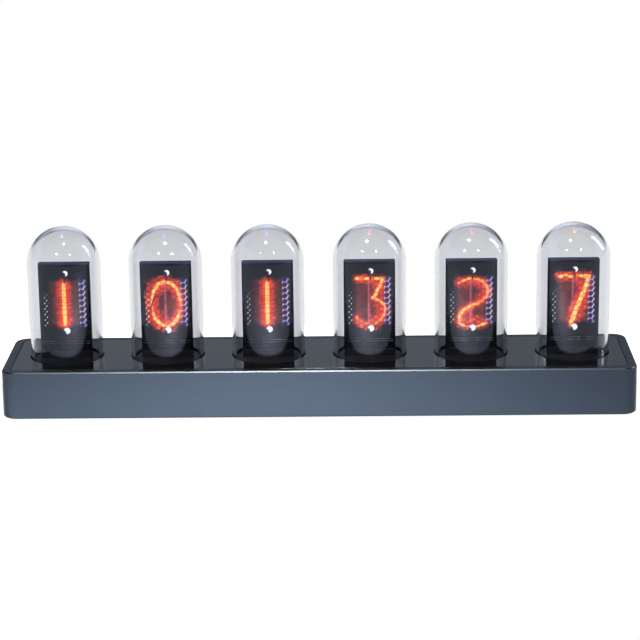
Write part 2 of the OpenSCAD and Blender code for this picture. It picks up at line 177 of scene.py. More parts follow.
def add_node(tree, kind, settings=(), links=()):
    """Adds a node, gives it its settings and links its inputs to other outputs.

    A setting is an attribute of the node, a value of an input, or for a colour ramp its stops, as pairs of a
    position and an sRGB hex colour, and how it blends between them.
    """
    node = tree.nodes.new(kind)
    for key, value in dict(settings).items():
        if key == "stops":
            elements = node.color_ramp.elements
            while len(elements) < len(value):
                elements.new(0.5)
            for element, (position, code) in zip(elements, value):
                element.position = position
                element.color = linear(code)
        elif key == "blend":
            node.color_ramp.interpolation = value
        elif isinstance(key, str) and hasattr(node, key):
            setattr(node, key, value)
        else:
            node.inputs[key].default_value = value
    for key, output in dict(links).items():
        tree.links.new(output, node.inputs[key])
    return node


def add_piece(name, mesh, material):
    """A new object at the origin that shows a mesh in one material."""
    mesh.materials.clear()
    mesh.materials.append(material)
    piece = bpy.data.objects.new(name, mesh)
    bpy.context.scene.collection.objects.link(piece)
    return piece


def settle(piece):
    """Turns a piece's modifiers into plain mesh."""
    bpy.context.view_layer.update()
    evaluated = piece.evaluated_get(bpy.context.evaluated_depsgraph_get())
    mesh = bpy.data.meshes.new_from_object(evaluated)
    piece.modifiers.clear()
    piece.data = mesh


def mesh_of(shape, name):
    """Turns a bmesh into a smooth mesh."""
    for face in shape.faces:
        face.smooth = True
    mesh = bpy.data.meshes.new(name)
    shape.to_mesh(mesh)
    shape.free()
    return mesh


def rounded(node, width, material):
    """Makes a copy of a CAD node with its sharp edges rounded, which stands for the node."""
    shape = bmesh.new()
    shape.from_mesh(frame["nodes"][node].data)
    bmesh.ops.remove_doubles(shape, verts=shape.verts, dist=WELD)
    bmesh.ops.dissolve_limit(shape, angle_limit=FLAT, verts=shape.verts, edges=shape.edges)
    mesh = mesh_of(shape, f"{node}_rounded")
    if "custom_normal" in mesh.attributes:
        mesh.attributes.remove(mesh.attributes["custom_normal"])
    mesh.set_sharp_from_angle(angle=SHARP)
    piece = add_piece(f"{node}_rounded", mesh, material)
    bevel = piece.modifiers.new("rounded edges", "BEVEL")
    bevel.width = width
    bevel.segments = EDGE_STEPS
    bevel.limit_method = "ANGLE"
    bevel.angle_limit = SHARP
    bevel.harden_normals = True
    settle(piece)
    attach(piece, BODY_OF[node])
    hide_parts(node)


def paint(nodes, material):
    """Gives CAD nodes a finished material."""
    for node in nodes:
        mesh = frame["nodes"][node].data
        mesh.materials.clear()
        mesh.materials.append(material)


# Materials


def surface(name, **values):
    """A new material with values set on its shader, and its object coordinates in metres."""
    material = bpy.data.materials.new(name)
    material.use_nodes = True
    tree = material.node_tree
    shader = tree.nodes["Principled BSDF"]
    for key, value in values.items():
        shader.inputs[key.replace("_", " ")].default_value = value
    place = add_node(tree, "ShaderNodeTexCoord").outputs["Object"]
    return material, tree, shader, place


def roughen(tree, place, shader, size, depth, low, high):
    """Gives a surface a grain of a real size: it raises the surface by depth and moves its roughness."""
    noise = add_node(tree, "ShaderNodeTexNoise", {"Scale": 1 / size, "Detail": 2}, {"Vector": place})
    rough = add_node(
        tree, "ShaderNodeMapRange", {"To Min": low, "To Max": high}, {"Value": noise.outputs["Fac"]}
    )
    bump = add_node(tree, "ShaderNodeBump", {"Distance": depth}, {"Height": noise.outputs["Fac"]})
    tree.links.new(rough.outputs["Result"], shader.inputs["Roughness"])
    tree.links.new(bump.outputs["Normal"], shader.inputs["Normal"])


def mottle(tree, place, shader, tone, size, share):
    """Lets a colour wander a little, darker and lighter, over patches of a real size."""
    noise = add_node(tree, "ShaderNodeTexNoise", {"Scale": 1 / size, "Detail": 3}, {"Vector": place})
    dark = [*[c * (1 - share) for c in tone[:3]], 1]
    light = [*[min(1, c * (1 + share)) for c in tone[:3]], 1]
    mix = add_node(
        tree, "ShaderNodeMix", {"data_type": "RGBA", 6: dark, 7: light}, {0: noise.outputs["Fac"]}
    )
    tree.links.new(mix.outputs[2], shader.inputs["Base Color"])


def anodised_aluminium():
    """Bead-blasted, dyed aluminium: an even satin metal whose fine pits blur what it reflects."""
    material, tree, shader, place = surface("anodised_aluminium", Metallic=1.0)
    mottle(tree, place, shader, bpy.context.scene.clock_colours.metal, 9 * MM, 0.05)
    # Blasting pits are near 0.05 mm; they are drawn at 0.3 mm so that they show
    roughen(tree, place, shader, 0.3 * MM, 0.004 * MM, 0.34, 0.42)
    return material


def polished_acrylic():
    """Polished black acrylic: a deep black mirror with a trace of wiping marks."""
    material, tree, shader, place = surface("polished_black_acrylic", IOR=1.49)
    mottle(tree, place, shader, bpy.context.scene.clock_colours.plate, 25 * MM, 0.15)
    roughen(tree, place, shader, 14 * MM, 0.002 * MM, 0.02, 0.07)
    return material


def moulded_plastic(name, tone):
    """Moulded ABS with a spark-eroded texture: a soft sheen with no clear reflection."""
    material, tree, shader, place = surface(name, IOR=1.53)
    mottle(tree, place, shader, tone, 4 * MM, 0.12)
    roughen(tree, place, shader, 0.35 * MM, 0.012 * MM, 0.42, 0.6)
    return material


def tray_plastic():
    """Moulded ABS, black at the foot and blue-black at the top lip, with the mouldings' soft sheen."""
    material = moulded_plastic("blue_black_abs", bpy.context.scene.clock_colours.tray)
    tree = material.node_tree
    shader = tree.nodes["Principled BSDF"]
    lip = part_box("screen_tray_1")[1].z
    place = add_node(tree, "ShaderNodeTexCoord").outputs["Object"]
    height = add_node(tree, "ShaderNodeSeparateXYZ", {}, {0: place}).outputs["Z"]
    share = add_node(
        tree, "ShaderNodeMapRange", {"From Min": lip - 6 * MM, "From Max": lip - 1 * MM}, {"Value": height}
    )
    blue = shader.inputs["Base Color"].links[0].from_socket
    mix = add_node(
        tree, "ShaderNodeMix", {"data_type": "RGBA", 6: linear("#131318")},
        {0: share.outputs["Result"], 7: blue},
    )
    tree.links.new(mix.outputs[2], shader.inputs["Base Color"])
    return material


def button_plastic():
    """Tumbled ABS: darker and smoother than the mouldings, with a broad highlight."""
    material, tree, shader, place = surface("tumbled_abs", IOR=1.53)
    mottle(tree, place, shader, bpy.context.scene.clock_colours.moulded, 3 * MM, 0.1)
    roughen(tree, place, shader, 1.2 * MM, 0.001 * MM, 0.24, 0.3)
    return material


def silicone_rubber():
    """Moulded silicone rubber: dull, faintly dusty black."""
    material, tree, shader, place = surface("silicone_rubber", IOR=1.41)
    mottle(tree, place, shader, bpy.context.scene.clock_colours.rubber, 2.5 * MM, 0.2)
    roughen(tree, place, shader, 0.5 * MM, 0.02 * MM, 0.7, 0.9)
    return material


def plain_metal(name, code, low, high):
    """Drawn or plated metal: clear reflections, dulled by fine marks from handling."""
    material, tree, shader, place = surface(name, Metallic=1.0)
    mottle(tree, place, shader, linear(code), 3 * MM, 0.08)
    roughen(tree, place, shader, 0.6 * MM, 0.002 * MM, low, high)
    return material


def solder_mask():
    """Green solder mask over glass-fibre board: glossy, with raised tracks just showing under it."""
    material, tree, shader, place = surface("solder_mask_on_board", IOR=1.5)
    tone = bpy.context.scene.clock_colours.board
    upright = add_node(tree, "ShaderNodeMapping", {"Rotation": (math.radians(90), 0, 0)}, {"Vector": place})
    tracks = add_node(
        tree, "ShaderNodeTexBrick",
        {"Scale": 1.0, "Brick Width": 5 * MM, "Row Height": 1.2 * MM, "Mortar Size": 0.12 * MM,
         "Color1": tone, "Color2": [c * 0.8 for c in tone[:3]] + [1], "Mortar": linear("#0a2a1c")},
        {"Vector": upright.outputs["Vector"]},
    )
    tree.links.new(tracks.outputs["Color"], shader.inputs["Base Color"])
    roughen(tree, place, shader, 0.9 * MM, 0.004 * MM, 0.25, 0.38)
    return material


def lamp_resin():
    """Milky resin over a small coloured lamp: each lamp of the row has its own colour."""
    material, tree, shader, place = surface("lamp_resin", IOR=1.52, Emission_Strength=80.0)
    row = [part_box(f"glass_dome_{i}") for i in TUBES]
    first, last = row[0][0].x, row[-1][1].x
    along = add_node(tree, "ShaderNodeSeparateXYZ", {}, {0: place})
    share = add_node(
        tree, "ShaderNodeMapRange", {"From Min": first, "From Max": last}, {"Value": along.outputs["X"]}
    )
    lamps = ("#9fb6ff", "#5a5cff", "#8a48ff", "#ff5cb0", "#ff4a78", "#ff7a30")
    glow = add_node(
        tree, "ShaderNodeValToRGB",
        {"stops": [(i / len(lamps), code) for i, code in enumerate(lamps)], "blend": "CONSTANT"},
        {"Fac": share.outputs["Result"]},
    )
    tree.links.new(glow.outputs["Color"], shader.inputs["Emission Color"])
    mottle(tree, place, shader, linear("#e9e4d6"), 1.5 * MM, 0.05)
    roughen(tree, place, shader, 0.4 * MM, 0.004 * MM, 0.3, 0.45)
    return material


def drawn_glass():
    """Blown borosilicate glass: clear, a little grey, with slow waves that bend what is behind."""
    material, tree, shader, place = surface(
        "borosilicate_glass", IOR=1.47, Roughness=0.0, Transmission_Weight=1.0,
        Base_Color=bpy.context.scene.clock_colours.glass, Specular_Tint=linear("#dfe5ff"),
    )
    stretch = add_node(tree, "ShaderNodeMapping", {"Scale": (1, 1, 0.35)}, {"Vector": place})
    waves = add_node(
        tree, "ShaderNodeTexNoise", {"Scale": 1 / (9 * MM), "Detail": 1}, {"Vector": stretch.outputs[0]}
    )
    bump = add_node(tree, "ShaderNodeBump", {"Distance": 0.001 * MM}, {"Height": waves.outputs["Fac"]})
    tree.links.new(bump.outputs["Normal"], shader.inputs["Normal"])
    # Long ways through the wall, near the dome's outline, come out a little darker
    depth = add_node(tree, "ShaderNodeVolumeAbsorption", {"Color": linear("#e4e6e9"), "Density": 110})
    tree.links.new(depth.outputs[0], tree.nodes["Material Output"].inputs["Volume"])
    return material


def screen_glass():
    """Cover glass with an anti-reflection film over a dark display: black, with only a trace of a mirror."""
    material, tree, shader, place = surface("display_cover_glass", IOR=1.5, Specular_IOR_Level=0.06)
    mottle(tree, place, shader, linear("#060709"), 6 * MM, 0.2)
    roughen(tree, place, shader, 5 * MM, 0.001 * MM, 0.04, 0.1)
    return material


def film_edge_painted_glints():
    """Cut edges of the polarising film under the picture: thin dark lines with painted glints, pale to white
    dashes here and there.
    """
    material, tree, shader, place = surface("cut_polarising_film", IOR=1.48)
    # Painted glints: a noise lays pale and white dashes into the film edges' base colour
    painted_glints = add_node(
        tree, "ShaderNodeTexNoise", {"Scale": 1 / (2.5 * MM), "Detail": 2}, {"Vector": place}
    )
    tone = add_node(
        tree, "ShaderNodeValToRGB", {"stops": ((0.42, "#1a1b1e"), (0.58, "#c8ccd4"), (0.66, "#ffffff"))},
        {"Fac": painted_glints.outputs["Fac"]},
    )
    tree.links.new(tone.outputs["Color"], shader.inputs["Base Color"])
    roughen(tree, place, shader, 0.4 * MM, 0.004 * MM, 0.2, 0.4)
    return material


def lit_pixels():
    """The lit part of a display: under the same film, pixels that shine in the picture's own colours."""
    material, tree, shader, place = surface(
        "lit_display_pixels", IOR=1.5, Specular_IOR_Level=0.06, Emission_Strength=1.3
    )
    picture = add_node(tree, "ShaderNodeVertexColor", {"layer_name": "picture"})
    tree.links.new(picture.outputs["Color"], shader.inputs["Emission Color"])
    mottle(tree, place, shader, linear("#050608"), 6 * MM, 0.2)
    roughen(tree, place, shader, 5 * MM, 0.001 * MM, 0.04, 0.1)
    return material


# The pictures: a numeral of glowing wire before a dark honeycomb mesh.
# All their sizes are in millimetres about the picture's middle.

# Points on each run of a line, and degrees between the points of an arc
RUN_POINTS = 6
ARC_STEP = 5


def through(*points):
    """A smooth line through points."""
    p = np.array(points, float)
    p = np.vstack([2 * p[0] - p[1], p, 2 * p[-1] - p[-2]])
    t = np.linspace(0, 1, RUN_POINTS, endpoint=False)[:, None]
    runs = [
        b + t / 2 * (c - a + t * (2 * a - 5 * b + 4 * c - d + t * (3 * b - a - 3 * c + d)))
        for a, b, c, d in zip(p, p[1:], p[2:], p[3:])
    ]
    return np.vstack(runs + [p[-2:-1]])


def arc(middle, radii, start, end):
    """Points along part of an ellipse, from one angle to another in degrees."""
    a = np.radians(np.linspace(start, end, 1 + round(abs(end - start) / ARC_STEP)))[:, None]
    return np.array(middle) + np.hstack([np.cos(a), np.sin(a)]) * radii


# Rows of x, y, half width and heat along each lit stroke
STROKES = {
    "0": [
        through((-0.1, 7.4, 0.46, 0.9), (-2.55, 6.35, 0.55, 1), (-4.1, 4.05, 0.46, 1),
                (-4.85, 1.55, 0.38, 0.85), (-5.05, -0.5, 0.36, 0.8), (-4.85, -2.55, 0.29, 0.35),
                (-4.3, -4.7, 0.46, 0.9), (-2.9, -6.95, 0.55, 1), (-1.35, -8.15, 0.48, 0.9),
                (-0.1, -8.4, 0.38, 0.7), (1.45, -8, 0.5, 1), (3.1, -6.55, 0.55, 1),
                (4.2, -4.45, 0.46, 0.9), (4.7, -2.55, 0.29, 0.25), (4.85, -1.2, 0.29, 0.3),
                (4.8, 0.85, 0.38, 0.85), (3.95, 4.05, 0.41, 0.9), (2.25, 6.5, 0.53, 1),
                (-0.1, 7.4, 0.46, 0.9)),
    ],
    "1": [through((-0.1, 6.9, 0.2, 0.8), (-0.15, 5.4, 0.56, 1), (-0.15, -6.3, 0.54, 1),
                  (-0.1, -7.8, 0.2, 0.8))],
    "2": [
        through((-4.5, 5.9, 0.2, 0.35), (-3.4, 6.5, 0.26, 0.45), (-2.5, 6.95, 0.28, 0.85),
                (-0.3, 7.6, 0.3, 0.95), (0.4, 7.65, 0.2, 0.1), (1.65, 7.35, 0.32, 0.9),
                (3.85, 6.45, 0.34, 0.75), (5.2, 4.9, 0.36, 0.5), (5.65, 3.3, 0.38, 0.5),
                (5.3, 1.5, 0.36, 0.45), (4.1, 0.2, 0.32, 0.5), (2.4, -1.1, 0.36, 0.8),
                (-0.1, -2.1, 0.4, 0.95), (-2.3, -3.45, 0.46, 1), (-3.75, -5, 0.5, 1),
                (-4, -6.8, 0.44, 0.9), (-3.75, -8.4, 0.46, 1)),
        through((-3.75, -8.4, 0.46, 1), (-1.8, -9.2, 0.32, 0.5), (0.2, -9.3, 0.26, 0.4),
                (2.1, -9.2, 0.36, 0.9), (3.85, -8.65, 0.42, 1), (5.05, -8.4, 0.3, 0.9)),
    ],
    "3": [
        through((-4.7, 7.85, 0.25, 0.7), (-3.9, 7.9, 0.46, 1), (-2.6, 7.9, 0.34, 0.45),
                (-1.2, 7.85, 0.36, 0.95), (-0.3, 7.85, 0.38, 1), (0.3, 7.85, 0.26, 0.2),
                (1.2, 7.85, 0.3, 0.5), (2.6, 7.85, 0.38, 1), (4.6, 7.8, 0.36, 1)),
        through((4.5, 7.5, 0.36, 0.9), (3.2, 4.6, 0.44, 1), (1.7, 1.65, 0.44, 1), (1.1, 1.1, 0.4, 0.9)),
        through((1.1, 1.1, 0.4, 0.8), (2.4, 0.6, 0.32, 0.9), (3.9, -0.3, 0.32, 0.85),
                (4.9, -1.6, 0.26, 0.7), (5.25, -2.9, 0.24, 0.7), (4.6, -5.55, 0.26, 0.65),
                (2.9, -7.35, 0.26, 0.6), (0.45, -8.65, 0.26, 0.7), (-2.7, -7.85, 0.25, 0.55),
                (-4.2, -6.3, 0.25, 0.5), (-4.3, -5.5, 0.2, 0.3)),
    ],
    "7": [
        through((-5.3, 8.1, 0.36, 0.6), (-4.2, 8.1, 0.5, 1), (-3, 8.5, 0.36, 0.6), (-1.8, 8.1, 0.42, 0.9),
                (-0.6, 7.95, 0.32, 0.7), (0.4, 8, 0.28, 0.4), (2, 8.35, 0.38, 0.8), (3.6, 8.1, 0.5, 1),
                (5.2, 8.1, 0.46, 0.9)),
        through((5, 8, 0.44, 0.8), (4.75, 6.7, 0.54, 1), (3.5, 2.8, 0.64, 1), (1.55, -2.15, 0.68, 1),
                (-0.2, -7.2, 0.68, 1), (-0.75, -8.9, 0.5, 0.8)),
    ],
}
# Rows of x, y, half width and strength along the red light that hangs between the wires
GLOWS = {
    "0": [
        through((0, 6.2, 1.1, 0.8), (-3.2, 3.8, 1.2, 0.85), (-4.1, -0.6, 0.8, 0.5),
                (-3.3, -4.8, 1.2, 0.9), (0, -7.4, 0.9, 0.7), (3.2, -5, 1.2, 0.85), (4, -1, 0.7, 0.45),
                (3.3, 3.4, 1, 0.75), (0, 6.2, 1.1, 0.8)),
        through((-5.2, 6.6, 0.9, 0.45), (-6.1, 2, 0.9, 0.6), (-6, -4.5, 0.8, 0.5), (-3, -8.9, 0.7, 0.6)),
        through((-3.6, 8.2, 0.6, 0.3), (2.4, 8.3, 0.6, 0.35), (5.3, 4, 0.6, 0.5), (5.6, -3.5, 0.6, 0.4)),
        through((-1, -9.3, 0.6, 0.6), (2.6, -8.8, 0.6, 0.5)),
    ],
    "1": [through((-0.1, 6.0, 2.15, 0.46), (-0.1, -1, 2.2, 0.44), (-0.1, -6.8, 2.15, 0.46))],
    "2": [
        through((-4.6, 6.6, 0.9, 0.5), (-2.5, 6.2, 0.9, 0.5), (1.2, 6.3, 0.9, 0.5), (3.6, 5, 1.3, 0.6),
                (4.4, 2.6, 1.2, 0.6), (3.2, 0.4, 1, 0.5)),
        through((-1, -2.6, 1.2, 0.55), (-2.6, -5.2, 1.4, 0.75), (-1.6, -7.6, 1.4, 0.7),
                (2, -7.4, 1.1, 0.45), (4.4, -8.6, 0.8, 0.5)),
        through((-4.8, -7.6, 0.8, 0.5), (-2.4, -9.6, 0.6, 0.5)),
    ],
    "3": [
        through((-3.6, 7.6, 0.9, 0.45), (1.4, 7, 0.9, 0.5), (3, 6, 1.3, 0.65), (2.4, 4.4, 1.2, 0.65)),
        through((4.6, 5.8, 0.9, 0.6), (4.4, 2, 1, 0.6)),
        through((3.6, -1.4, 1.2, 0.55), (3.8, -4.2, 1.6, 0.65), (2.2, -6.6, 1.3, 0.55)),
        through((-4.2, -7.4, 0.9, 0.5), (-1.8, -9, 0.7, 0.5), (2.4, -8.8, 0.7, 0.5),
                (4.2, -7.4, 0.8, 0.4)),
    ],
    "7": [
        through((1, 6.9, 0.9, 0.5), (2.2, 5, 1.2, 0.65), (1.8, 2, 1.2, 0.65), (0.4, -2, 1.1, 0.5),
                (-0.9, -6, 0.8, 0.4)),
        through((4.9, 4.5, 0.7, 0.6), (4.2, 1, 1.1, 0.65), (3.2, -3, 0.9, 0.45), (1.6, -7, 0.8, 0.4)),
        through((-4.6, 8.6, 0.8, 0.5), (4.8, 8.7, 0.7, 0.55)),
        through((-4.4, 6.6, 0.5, 0.35), (-2, 7.1, 0.5, 0.4)),
    ],
}
# Rows of x, y, half width and depth along the unlit wires in front, which cut dark lines into the light
LEG = through((0.5, 9.2, 0.16, 0.9), (0.35, 7.9, 0.16, 0.9), (0.1, 6.9, 0.06, 0.6))
UNLIT = {
    "0": [
        LEG,
        through((-1.2, 1.9, 0.15, 0.5), (-3.4, 2.2, 0.32, 0.9), (-4.4, 0.7, 0.24, 0.9),
                (-5.4, -2.4, 0.1, 0.8)),
    ],
    "1": [
        LEG,
        *(through((-2.9, h - 0.2, 0.08, 0.6), (-1, h + 0.1, 0.08, 0.5), (1, h, 0.08, 0.5),
                  (2.7, h + 0.3, 0.08, 0.6))
          for h in (2, 1.1, 0.3, -0.9, -2.3, -4.3, 4.4)),
    ],
    "2": [
        LEG,
        through((-4.4, -7.6, 0.08, 0.7), (-2, -8.7, 0.1, 0.8), (0.2, -8.9, 0.1, 0.8),
                (3, -8.5, 0.08, 0.6)),
    ],
    "3": [
        LEG,
        through((-4, -6.6, 0.08, 0.8), (-2.4, -8.1, 0.09, 0.8), (0.4, -8.65, 0.09, 0.8),
                (3.2, -7.2, 0.08, 0.6)),
    ],
    "7": [
        LEG,
        through((4.4, 3.6, 0.06, 0.5), (1.4, 2.4, 0.06, 0.5)),
        through((2.4, -1.4, 0.06, 0.5), (-0.4, -1.9, 0.06, 0.5)),
    ],
}
# Steps of the mesh and of the finer mesh behind it, and the middle of the mesh's lit column
MESH_PITCH = 1.98
FINE_PITCH = 1.2
MESH_COLUMN = 5.85
# Columns of dots at the left: x, shift, colour, heights between which they fade out upwards, and strength
DOT_COLUMNS = (
    (-6.9, 0, "post", 0, 6.5, 1),
    (-6.2, MESH_PITCH / 2, "post", 0, 6.5, 1),
    (-5.5, 0, "wire", 6, 9, 0.4),
)
DOT_WIDTH, DOT_HEIGHT, DOT_SLANT = 0.21, 0.33, 0.3
# The upright wire through the middle
WIRE_X, WIRE_WIDTH = -0.25, 0.36
# The two posts: x, y, radius, and how far to the left the dark bite lies, with its share of that downwards
POSTS = ((0.45, 10.5, 1.0, 0.75), (0.45, -9.9, 1.15, 1.4))
BITE_DROP = 0.6
# How much the mesh cuts the light, how strong the haze is and how ragged the light's edge is
PLAIN_LIGHT = (0.2, 0.65, 0.7)
RICH_LIGHT = (0.6, 0.8, 1.7)
# Widths of the patches of uneven light, coarse and fine
GRAIN_COARSE, GRAIN_FINE = 1.5, 0.6
# Distances from a mesh wire, an unlit wire, the hanging light and a stroke over which something comes or goes
MESH_EDGE, FINE_EDGE, CUT_EDGE = (0.26, 0.07), (0.2, 0.04), (0.16, -0.04)
GLOW_EDGE, SPARK_EDGE = (1.5, -0.7), (1.5, -0.2)
NEAR_GLOW, FLAME_EDGE, CORE_EDGE = 1.1, (0.42, 0.08), (0.16, -0.16)
# Places across and up the picture between which something comes or goes
HAZE_ASIDE, HAZE_UP, WIRE_UP = (6.6, 3.6), (9.2, 7.0), (8.4, 7.4)
CELLS_FROM, MESH_FROM, MESH_UP, BLUE_UP = (4.5, 5.4), (4.8, 5.2), (9.0, 7.9), (5.5, 8.8)
DOTS_FROM = (-9.4, -7.5)
# Brightness of the mesh's wires: those that rise to the right, the level ones and those that fall
LEAN_LIGHT = (1.0, 0.75, 0.6)
# The layers are laid in the display's own tones, with this gamma
SHOWN_GAMMA = 2.2
# Unrelated numbers that scatter the places of a grid
SCATTER_ACROSS, SCATTER_UP, SCATTER_FAR = 12.9898, 78.233, 43758.5453


def smooth(low, high, value):
    """Goes softly from 0 to 1 while a value goes from low to high."""
    t = np.clip((value - low) / (high - low), 0, 1)
    return t * t * (3 - 2 * t)


def from_strokes(x, y, strokes):
    """Distance from each point to the nearest stroke's edge, below 0 inside it, and the stroke's strength."""
    nearest = np.full(x.shape, np.inf)
    strength = np.zeros(x.shape)
    for line in strokes:
        for a, b in zip(line, line[1:]):
            run = b - a
            t = np.clip(((x - a[0]) * run[0] + (y - a[1]) * run[1]) / (run[0] ** 2 + run[1] ** 2), 0, 1)
            edge = np.hypot(x - a[0] - t * run[0], y - a[1] - t * run[1]) - a[2] - t * run[2]
            strength = np.where(edge < nearest, a[3] + t * run[3], strength)
            nearest = np.minimum(nearest, edge)
    return nearest, strength


def chance(column, row):
    """A number from 0 to 1 for each place in a grid, without order but the same each time."""
    return (np.sin(SCATTER_ACROSS * column + SCATTER_UP * row) * SCATTER_FAR) % 1


def clouds(x, y, pitch):
    """Soft patches without order, from 0 to 1, about as wide as a pitch."""
    column, row = np.floor(x / pitch), np.floor(y / pitch)
    across, up = smooth(0, 1, x / pitch - column), smooth(0, 1, y / pitch - row)
    low, high = (
        chance(column, row + i) * (1 - across) + chance(column + 1, row + i) * across for i in (0, 1)
    )
    return low * (1 - up) + high * up


def from_mesh(x, y, pitch):
    """Distance from each point to the nearest wire of a honeycomb, and its lean, -1, 0 or 1."""
    step = pitch * math.sqrt(3) / 2
    column = np.round((x - MESH_COLUMN) / step) + np.repeat((-1, 0, 1), 3)[:, None]
    shift = np.where(column % 2 == 0, 0, pitch / 2)
    row = np.round((y - shift) / pitch) + np.tile((-1, 0, 1), 3)[:, None]
    aside = x - MESH_COLUMN - column * step
    over = y - shift - row * pitch
    away = np.hypot(aside, over)
    near, next_near = np.argsort(away, axis=0)[:2]
    points = np.arange(len(x))
    lean = (aside[near, points] - aside[next_near, points]) * (over[near, points] - over[next_near, points])
    return (away[next_near, points] - away[near, points]) / 2, np.sign(np.round(lean, 6))


def picture_of(digit, x, y):
    """The linear colour of a numeral's picture at points, as rows of red, green and blue."""
    tones = bpy.context.scene.clock_colours
    shown = np.zeros((len(x), 3))

    def lay(tone, cover):
        """Lays a colour over what is shown, as thick as its cover."""
        shown[:] = shown + cover[:, None] * (np.array(tone[:3]) ** (1 / SHOWN_GAMMA) - shown)

    mesh_cut, haze, tatter = PLAIN_LIGHT if digit == "1" else RICH_LIGHT
    edge, heat = from_strokes(x, y, STROKES[digit])
    halo, strength = from_strokes(x, y, GLOWS[digit])
    cut, depth = from_strokes(x, y, UNLIT[digit])
    wire, lean = from_mesh(x, y, MESH_PITCH)
    fine, _ = from_mesh(x, y, FINE_PITCH)
    line = smooth(*MESH_EDGE, wire)
    grain = 0.5 * clouds(x, y, GRAIN_COARSE) + 0.5 * clouds(x + y / 2, y - x / 2, GRAIN_FINE)
    clear = (1 - mesh_cut * line) * (1 - depth * smooth(*CUT_EDGE, cut))
    broken = clear * (1 - 0.25 * smooth(*FINE_EDGE, fine))
    ragged = halo + tatter * (0.5 - grain)
    rows = smooth(*MESH_UP, abs(y))

    # Haze and red light between the wires, then the dark cells of the mesh at the right
    lay(tones.haze, haze * (0.75 + 0.5 * grain) * smooth(*HAZE_ASIDE, abs(x)) * smooth(*HAZE_UP, abs(y)))
    hanging = np.minimum(1, 2.2 * strength) * smooth(*GLOW_EDGE, ragged)
    lay(tones.glow, hanging * (0.6 + 0.45 * grain) * broken)
    lay(tones.mesh_dark, 0.85 * smooth(*CELLS_FROM, x) * rows * (1 - line))

    # The numeral: glow, sparks, the upright wire behind it, flame and core
    lay(tones.glow, np.exp(-(np.maximum(edge, 0) / NEAR_GLOW) ** 2) * (0.6 + 0.5 * grain) * broken)
    lay(tones.flame, 0.5 * smooth(0.72, 0.85, grain) * smooth(*SPARK_EDGE, ragged))
    if digit != "1":
        along = smooth(*WIRE_UP, abs(y)) * (0.55 + 0.45 * grain)
        lay(tones.wire, np.exp(-((x - WIRE_X) / WIRE_WIDTH) ** 2) * along)
    lay(tones.flame, smooth(*FLAME_EDGE, edge) * (0.35 + 0.65 * heat) * broken)
    lay(tones.core, smooth(*CORE_EDGE, edge) * heat * clear * (0.7 + 0.3 * grain))

    # The lit wires of the mesh, the dots at the left and the two posts
    lit = smooth(*MESH_FROM, x) * rows * line
    lay(tones.mesh_lit, lit * np.choose(lean.astype(int) + 1, LEAN_LIGHT))
    lay(tones.wire, 0.4 * lit * (lean == 0))
    lay(tones.mesh_blue, 0.6 * lit * smooth(*BLUE_UP, abs(y)))
    for column, shift, tone, low, high, bright in DOT_COLUMNS:
        off = (y - shift + MESH_PITCH / 2) % MESH_PITCH - MESH_PITCH / 2
        dot = np.exp(-((x - column - DOT_SLANT * off) / DOT_WIDTH) ** 2 - (off / DOT_HEIGHT) ** 2)
        lay(getattr(tones, tone), dot * smooth(high, low, y) * smooth(*DOTS_FROM, y) * bright)
    for middle, height, radius, shift in POSTS:
        disc = smooth(radius + 0.1, radius - 0.15, np.hypot(x - middle, y - height))
        from_bite = np.hypot(x - middle + shift, y - height + BITE_DROP * shift)
        lay(tones.mesh_dark, 0.8 * disc)
        lay(tones.post, disc * smooth(radius - 0.3, radius + 0.1, from_bite))
    return np.clip(shown, 0, 1) ** (SHOWN_GAMMA * bpy.context.scene.clock_studio.contrast)


# Rows of small parts, and the domes

# What a row is made of: a geometry node and its settings
ROW_PARTS = {
    "block_rows": ("GeometryNodeMeshCube", {"Size": (1, 1, 1)}),
    "bead_rows": ("GeometryNodeMeshUVSphere", {"Segments": 10, "Rings": 6, "Radius": 0.5}),
}
ROW_INPUTS = {
    "Rows": "Int", "Pitch": "Vector", "First": "Vector", "Count": "Int", "Step": "Vector", "Size": "Vector",
    "Material": "Material",
}
# A dome's rows of faces down its straight walls, and its steps all round
DOME_ROWS = 24
DOME_STEPS = 128


def row_tree(name):
    """Geometry nodes that repeat a row of blocks or beads at even steps, such as once on every tube."""
    if name in bpy.data.node_groups:
        return bpy.data.node_groups[name]
    tree = bpy.data.node_groups.new(name, "GeometryNodeTree")
    tree.interface.new_socket("Geometry", in_out="OUTPUT", socket_type="NodeSocketGeometry")
    for label, kind in ROW_INPUTS.items():
        tree.interface.new_socket(label, in_out="INPUT", socket_type=f"NodeSocket{kind}")
    given = add_node(tree, "NodeGroupInput").outputs
    part = add_node(tree, *ROW_PARTS[name])
    row = add_node(tree, "GeometryNodeMeshLine", {}, {"Count": given["Count"], "Offset": given["Step"]})
    parts = add_node(
        tree, "GeometryNodeInstanceOnPoints", {},
        {"Points": row.outputs[0], "Instance": part.outputs[0], "Scale": given["Size"]},
    )
    places = add_node(
        tree, "GeometryNodeMeshLine", {},
        {"Count": given["Rows"], "Start Location": given["First"], "Offset": given["Pitch"]},
    )
    rows = add_node(
        tree, "GeometryNodeInstanceOnPoints", {}, {"Points": places.outputs[0], "Instance": parts.outputs[0]}
    )
    solid = add_node(tree, "GeometryNodeRealizeInstances", {}, {0: rows.outputs[0]})
    dressed = add_node(
        tree, "GeometryNodeSetMaterial", {}, {"Geometry": solid.outputs[0], "Material": given["Material"]}
    )
    add_node(tree, "NodeGroupOutput", {}, {"Geometry": dressed.outputs[0]})
    return tree


def lay_row(name, kind, material, slot, **inputs):
    """Makes one piece on the clock's body from rows of one kind."""
    tree = row_tree(kind)
    piece = add_piece(name, bpy.data.meshes.new(name), material)
    rows = piece.modifiers.new("rows", "NODES")
    rows.node_group = tree
    for label, value in {**inputs, "Material": material}.items():
        rows[tree.interface.items_tree[label].identifier] = value
    settle(piece)
    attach(piece, "clock")


